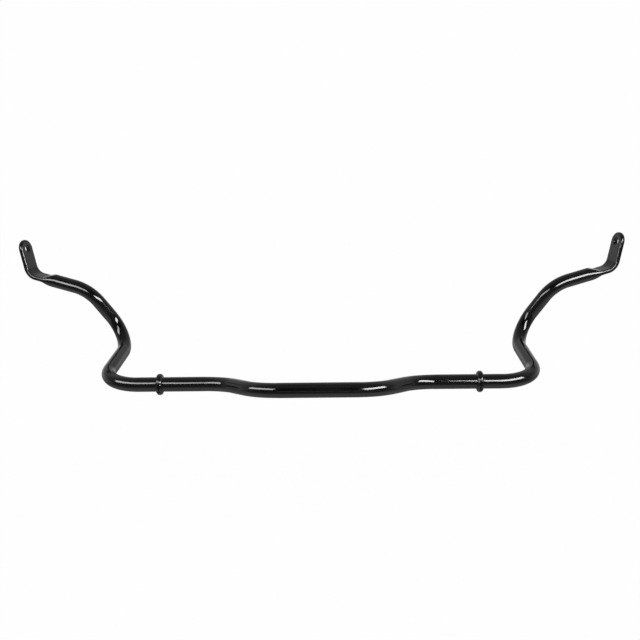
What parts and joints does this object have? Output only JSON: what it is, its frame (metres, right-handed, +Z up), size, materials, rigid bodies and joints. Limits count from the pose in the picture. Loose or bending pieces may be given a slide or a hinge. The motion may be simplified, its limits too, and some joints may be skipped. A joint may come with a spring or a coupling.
{
  "type": "sway bar",
  "caption": "Bent round spring-steel sway bar with an offset centre section, flattened and drilled arm ends, and crimped stop rings beside the bushing seats.",
  "frame": {"origin": "on the ground, under the middle of the bar's footprint, as it rests on its two stop rings and the low bends of its two arms", "axes": "+X across the car from the left half to the right half, +Y from the centre section back towards the eyes, +Z up; the bushing axis runs along X at y -0.0815 m, z 0.0175 m"},
  "size_m": [1.0864, 0.3428, 0.1973],
  "materials": {
    "bar_paint": "gloss black paint on spring steel",
    "ring_paint": "semi-gloss black paint on a crimped metal ring"
  },
  "bodies": {
    "left_half": {"bar_left_half": "bar_paint", "stop_ring_left": "ring_paint"},
    "right_half": {"bar_right_half": "bar_paint", "stop_ring_right": "ring_paint"}
  },
  "joints": [
    {"name": "bar_twist", "type": "hinge", "parent": "left_half", "child": "right_half", "pos_m": [0, -0.0815, 0.0175], "axis": [1, 0, 0], "range_deg": [-20, 20], "stiffness_Nm_per_rad": 3000}
  ]
}
